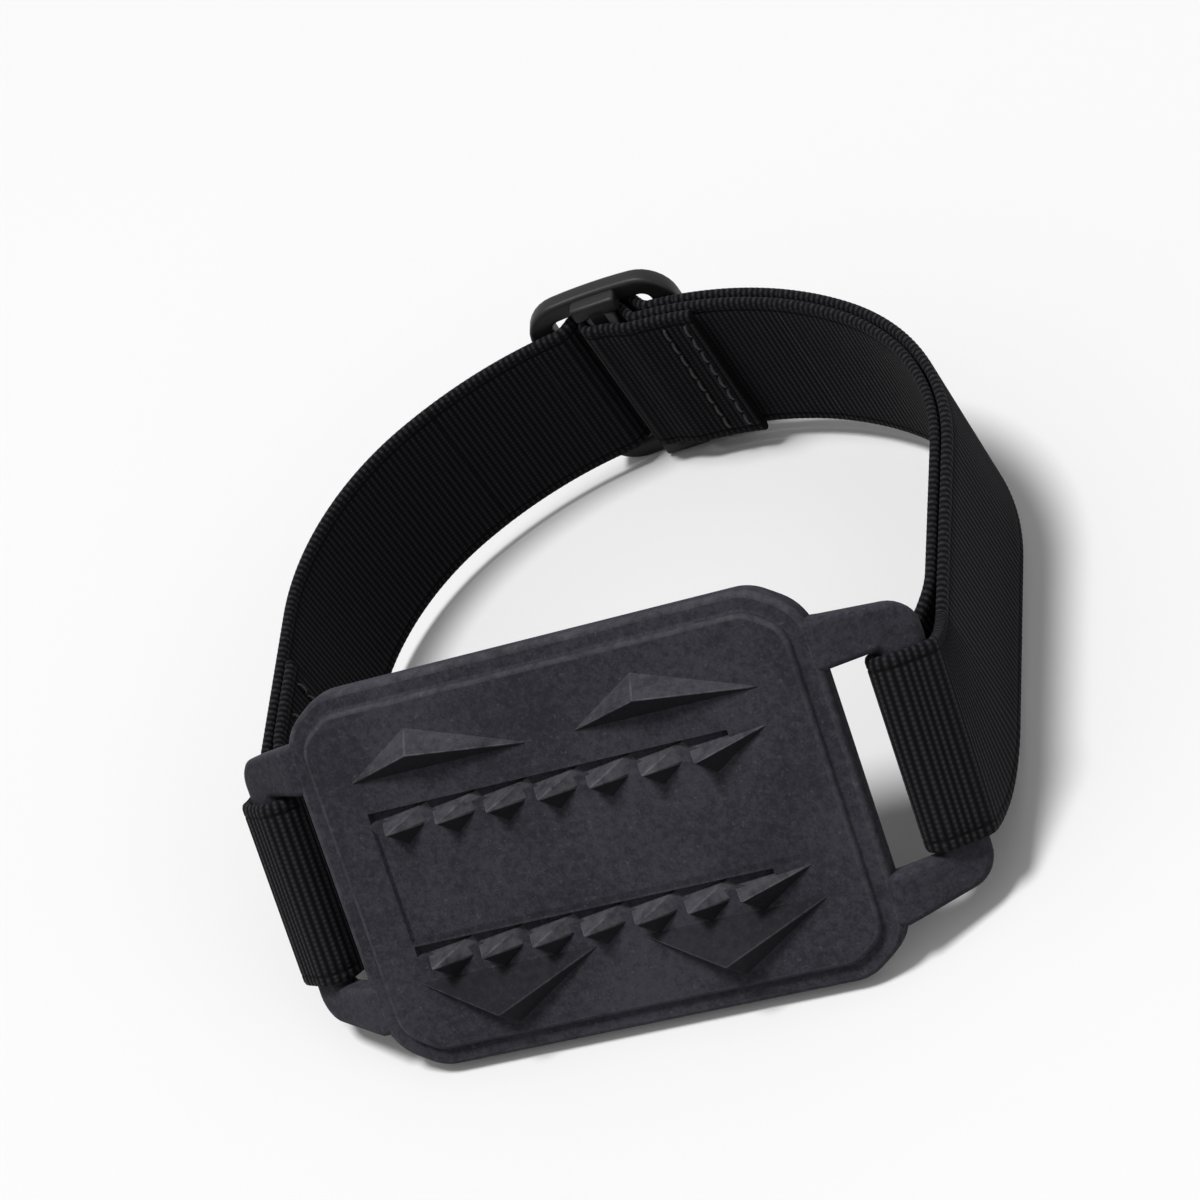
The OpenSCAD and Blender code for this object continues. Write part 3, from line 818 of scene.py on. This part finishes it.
def bar_wrap():
    """From the slot's inner side, round the bar, to the outer side."""
    slot_run = [(slot_x, y) for y in (bar_outer.y, (bar_outer.y + bar_inner.y) / 2, bar_inner.y)]
    inner = arc(bar_inner, wrap_r, -math.pi, LUG_ANGLE - math.pi / 2)
    outer = arc(bar_outer, wrap_r, LUG_ANGLE - math.pi / 2, 0)
    return in_frame(Matrix.Identity(4), slot_run + inner + outer)


def arch(depth, end):
    """From a side's top over the shoulder, to an angle on the instep."""
    shoulder = arc((leg_x - SHOULDER_R, LEG_LEN), SHOULDER_R - depth, 0, math.pi / 2 - instep_half)
    instep = arc((0, instep_y), INSTEP_R - depth, math.pi / 2 - instep_half, end)
    return in_frame(strap_place, shoulder + instep)


def feed_run(depth, start, end):
    return in_frame(strap_place, arc((0, instep_y), INSTEP_R - depth, start, end))


def on_instep(along, height):
    a = along / INSTEP_R
    return ((INSTEP_R + height) * math.sin(a), (INSTEP_R + height) * math.cos(a))


def slope(low, high, start, end):
    shares = steps_of(1, SLOPE_STEP)
    return [on_instep(start + (end - start) * t, low + (high - low) * smooth(t)) for t in shares]


def hump(along):
    return hump_h * (1 - smooth((abs(along) - hump_flat) / (hump_foot - hump_flat)))


def slider_bend():
    half = SLIDER_W / 2
    places = [x - half for x in steps_of(SLIDER_W, HUMP_STEP)]
    return in_frame(slider_place, [on_instep(x, hump(x)) for x in places])


def end_loop():
    """From the sewn tail up round the middle bar and back under the outer layer."""
    low = -2 * LAYER_PITCH
    tail = [on_instep(TAIL_END - x, low) for x in steps_of(TAIL_END - drop_end + RISE_LEAD)]
    rise = slope(low, MIDDLE_BAR_Y - loop_r, drop_end - RISE_LEAD, -loop_x)
    turns = [-math.pi / 2 - math.pi * t for t in steps_of(1, LOOP_STEP)]
    round_bar = [
        on_instep(-loop_x + loop_r * math.cos(a), MIDDLE_BAR_Y + loop_r * math.sin(a)) for a in turns
    ]
    fall = slope(MIDDLE_BAR_Y + loop_r, -LAYER_PITCH, loop_x + FALL_LEAD, drop_end)
    lead = [on_instep(drop_end + x, -LAYER_PITCH) for x in steps_of(SLIDER_W / 2 - drop_end)]
    return in_frame(slider_place, tail + rise + round_bar + fall + lead)


def mirrored(course):
    flip = Vector((-1, 1, 1))
    return [(point * flip, width * flip) for point, width in course]


def joined(*courses):
    whole = []
    for course in courses:
        whole += course if not whole else course[1:]
    return whole


# Webbing with raised cross ribs
def webbing_section():
    """Places round the webbing's section: across, height, and its share of a rib's depth."""
    half, thick = STRAP_W / 2, STRAP_T / 2
    flat = half - thick
    inner, outer = EDGE_LINE - EDGE_LINE_R, EDGE_LINE + EDGE_LINE_R
    middle = [(inner * (2 * i / COLUMNS - 1), thick, FACE_RIB) for i in range(COLUMNS + 1)]
    line = (EDGE_LINE, thick - EDGE_LINE_D, LINE_RIB)
    border = [line, (outer, thick, BORDER_RIB), (flat, thick, BORDER_RIB)]
    face = [(-across, height, rib) for across, height, rib in reversed(border)] + middle + border
    turns = [math.pi / 2 - math.pi * i / EDGE_STEPS for i in range(1, EDGE_STEPS)]
    edge = [(flat + thick * math.cos(a), thick * math.sin(a), EDGE_RIB) for a in turns]
    upper = face + edge
    return upper + [(-across, -height, rib) for across, height, rib in upper]


def even_course(course, step):
    """The course at even steps, and the normal of the webbing at each."""
    reach = [0.0]
    for (a, _), (b, _) in zip(course, course[1:]):
        reach.append(reach[-1] + (b - a).length)
    count = round(reach[-1] / step)
    stations, k = [], 0
    for i in range(count + 1):
        s = reach[-1] * i / count
        while k < len(course) - 2 and reach[k + 1] < s:
            k += 1
        t = (s - reach[k]) / max(reach[k + 1] - reach[k], 1e-9)
        point = course[k][0].lerp(course[k + 1][0], t)
        width = course[k][1].lerp(course[k + 1][1], t).normalized()
        stations.append((s, point, width))
    ready = []
    for i, (s, point, width) in enumerate(stations):
        ahead = stations[min(i + 1, count)][1] - stations[max(i - 1, 0)][1]
        ready.append((s, point, width, ahead.cross(width).normalized()))
    return ready


def webbing(name, course, *nodes):
    """A grid rolled into a tube: its rows follow the course, and its columns go round the section."""
    stations = even_course(course, RIB / RIB_STEPS)
    section = webbing_section()
    rows, around = len(stations) - 1, len(section)

    def station(vert):
        return stations[round((vert.co.x + 1) / 2 * rows)]

    def spot(vert):
        return section[round((vert.co.y + 1) / 2 * around) % around]

    bm = bmesh.new()
    bmesh.ops.create_grid(bm, x_segments=rows, y_segments=around, size=1)
    uv = bm.loops.layers.uv.new("webbing")
    for face in bm.faces:
        for loop in face.loops:
            loop[uv].uv = (station(loop.vert)[0], spot(loop.vert)[0])
    for vert in bm.verts:
        s, point, width, normal = station(vert)
        across, height, rib = spot(vert)
        sunk = RIB_DEPTH * rib * (1 - abs(math.sin(math.pi * s / RIB)) ** RIB_ROUND)
        vert.co = plate_place @ (point + width * across + normal * (height - math.copysign(sunk, height)))
    bmesh.ops.remove_doubles(bm, verts=bm.verts, dist=0.001 * MM)
    ends = [e for e in bm.edges if e.is_boundary]
    bmesh.ops.holes_fill(bm, edges=ends, sides=0)
    bmesh.ops.recalc_face_normals(bm, faces=bm.faces)
    for face in bm.faces:
        face.smooth = len(face.verts) == 4
    piece = keep(bm, name, finishes["webbing"])
    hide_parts(*nodes)
    return piece


# Sewing thread
def stitch_row(bm, place):
    """A row of arched stitches along Z, raised towards -X."""
    quarter_turn = Matrix.Rotation(math.pi / 2, 3, "Y")
    for i in range(STITCH_COUNT):
        ring = bmesh.ops.create_circle(bm, segments=6, radius=THREAD_R)["verts"]
        bmesh.ops.rotate(bm, verts=ring, cent=(0, 0, 0), matrix=quarter_turn)
        bmesh.ops.translate(bm, verts=ring, vec=(0, 0, -STITCH_L / 2))
        edges = list({e for v in ring for e in v.link_edges})
        bmesh.ops.spin(
            bm, geom=ring + edges, cent=(0, 0, 0), axis=(0, 1, 0), angle=math.pi, steps=8, use_merge=False
        )
        tube = [v for v in bm.verts if not v.tag]
        shift = (0, 0, (i - (STITCH_COUNT - 1) / 2) * STITCH_PITCH)
        bmesh.ops.scale(bm, verts=tube, vec=(STITCH_FLAT, 1, 1))
        bmesh.ops.transform(bm, verts=tube, matrix=place @ Matrix.Translation(shift))
        for v in tube:
            v.tag = True


def seam(name, places, node):
    bm = bmesh.new()
    for place in places:
        stitch_row(bm, plate_place @ place)
    bmesh.ops.recalc_face_normals(bm, faces=bm.faces)
    for face in bm.faces:
        face.smooth = True
    piece = keep(bm, name, finishes["thread"])
    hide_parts(node)
    return piece


finishes = {
    "rubber": moulded_rubber(),
    "webbing": woven_elastic(),
    "thread": twisted_thread(),
    "slider": satin_plastic(),
}

# Rigid pieces
plate = toothed_plate()
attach(plate, "plate")
slider = slide_adjuster()
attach(slider, "slider")


def at_instep(angle):
    """A point on the instep's arc, in the model's frame."""
    x, y = arc((0, instep_y), INSTEP_R, angle, angle)[0]
    return plate_place @ strap_place @ Vector((x, y, 0))


fixed_end = mirrored(joined(bar_wrap(), outer_side(), arch(0, math.pi - slider_at - feed_end)))
fixed = webbing(
    "fixed_webbing", fixed_end, "strap_anchor_wrap", "strap_fixed_side", "strap_instep_run"
)
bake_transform(fixed)

run_end = slider_at - feed_end
adjusting_course = joined(
    list(reversed(arch(0, run_end))),
    list(reversed(outer_side())),
    list(reversed(bar_wrap())),
    inner_side(FLEX_LEN + LEG_LEN),
    arch(LAYER_PITCH, run_end),
)
adjusting = webbing(
    "adjusting_webbing", adjusting_course, "strap_outer_run", "strap_outer_side",
    "strap_bar_wrap", "strap_return_side", "strap_return_run",
)
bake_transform(adjusting)

tail = webbing("anchor_tail", mirrored(inner_side(ANCHOR_TAIL)), "strap_anchor_tail")
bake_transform(tail)

near, far = slider_at + slider_half, slider_at + feed_end
fixed_feed = webbing("fixed_feed", feed_run(0, far, near), "strap_fixed_feed")
at_instep(far)
at_instep(near)
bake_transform(fixed_feed)

near, far = slider_at - slider_half, slider_at - feed_end
outer_feed = webbing("outer_feed", feed_run(0, near, far), "strap_outer_feed")
at_instep(far)
at_instep(near)
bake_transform(outer_feed)
return_feed = webbing("return_feed", feed_run(LAYER_PITCH, far, near), "strap_return_feed")
at_instep(far)
at_instep(near)
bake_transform(return_feed)

bend = webbing("slider_webbing", slider_bend(), "strap_slider_bend")
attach(bend, "slider")
end = webbing("sewn_end", end_loop(), "strap_end_loop")
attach(end, "slider")

# Seams
inner_face = leg_x - LAYER_PITCH - STRAP_T / 2
outer_face = leg_x + STRAP_T / 2
flip_x = Matrix.Scale(-1, 4, Vector((1, 0, 0)))
anchor_rows = []
for row in ANCHOR_ROWS:
    along = ANCHOR_TAIL - row - FLEX_LEN
    anchor_rows.append(flip_x @ strap_place @ Matrix.Translation((inner_face, along, 0)))
    anchor_rows.append(flip_x @ strap_place @ Matrix.Translation((outer_face, along, 0)) @ flip_x)
anchor_seam = seam("anchor_stitches", anchor_rows, "anchor_seam")
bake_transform(anchor_seam)
end_rows = [
    slider_place
    @ Matrix.Rotation(math.pi / 2 - (TAIL_END - row) / INSTEP_R, 4, "Z")
    @ Matrix.Translation((INSTEP_R - 2 * LAYER_PITCH - STRAP_T / 2, 0, 0))
    for row in END_ROWS
]
end_seam = seam("end_stitches", end_rows, "end_seam")
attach(end_seam, "slider")


# Floor, light and camera, in metres
def seen_rays(f):
    """1 for the rays that show the background: seen directly, in a reflection or through glass."""
    camera = f.node("LightPath", output="Is Camera Ray")
    glossy, through = camera.other("Is Glossy Ray"), camera.other("Is Transmission Ray")
    return camera.maths("MAXIMUM", camera.maths("MAXIMUM", camera, glossy), through)


def pale_floor():
    """Pale where it is seen and plain white far off, but dark to the light that it throws back."""
    f = Finish(bpy.data.materials.new("pale_floor"))
    place = f.node("TexCoord", output="Object")
    seen = seen_rays(f)
    pale = f.mix(f.noise(place, scale=3), shade(0.86), shade(0.88))
    f.set(Base_Color=f.mix(seen, shade(0.2), pale), Roughness=0.9, Specular_IOR_Level=0.1)
    far = f.node("VectorMath", {"operation": "LENGTH"}, {0: place}, "Value").between(0.25, 0.9)
    f.end(seen * far, f.node("Emission", None, {"Color": shade(1.0)}))
    return f.owner


def floor():
    bm = bmesh.new()
    bmesh.ops.create_grid(bm, x_segments=1, y_segments=1, size=4)
    placed(bm, "floor", pale_floor())


def white_world():
    """Soft light from all round, and plain white where it is seen."""
    f = Finish(bpy.data.worlds.new("studio"), "Background")
    f.set(Color=shade(1.0), Strength=0.3)
    f.end(seen_rays(f), f.node("Background", None, {"Color": shade(1.0), "Strength": 1.0}))
    return f.owner


def aimed(place, target, up):
    """A turn and a place that look from one point at another."""
    ahead = (Vector(target) - Vector(place)).normalized()
    right = ahead.cross(Vector(up)).normalized()
    over = right.cross(ahead)
    turn = Matrix((right, over, -ahead)).transposed()
    return Matrix.Translation(place) @ turn.to_4x4()


def area_light(name, place, target, size, power):
    lamp = bpy.data.lights.new(name, "AREA")
    lamp.shape = "DISK"
    lamp.size = size
    lamp.energy = power
    holder = bpy.data.objects.new(name, lamp)
    holder.matrix_world = aimed(place, target, (0, 0, 1))
    bpy.context.scene.collection.objects.link(holder)


def studio():
    scene = bpy.context.scene
    scene.view_settings.view_transform = "Standard"
    scene.world = white_world()
    floor()
    middle = (0, 0, 0.02)
    area_light("key", (-0.4, -0.05, 2.58), middle, size=0.7, power=54)
    area_light("fill", (0.8, -0.5, 0.5), middle, size=0.8, power=1.2)


def photo_camera():
    """Stands where the photograph's camera was fitted, and turns to bring the cleat to the middle."""
    eye = Vector((0.2395, -0.3952, 0.4336))
    ahead = Vector((-0.49558628, 0.61585953, -0.61246329))
    right = Vector((0.84017001, 0.16110489, -0.51784125))
    up = Vector((0.22024664, 0.77120831, 0.59726808))
    # In pixels of the photograph
    focal_length, aim_right, aim_up = 1903, 220, 29
    target = eye + ahead + right * aim_right / focal_length + up * aim_up / focal_length
    lens = bpy.data.cameras.new("camera")
    lens.lens = 121
    lens.clip_start = 0.01
    holder = bpy.data.objects.new("camera", lens)
    holder.matrix_world = aimed(eye, target, up)
    bpy.context.scene.collection.objects.link(holder)
    bpy.context.scene.camera = holder


studio()
photo_camera()
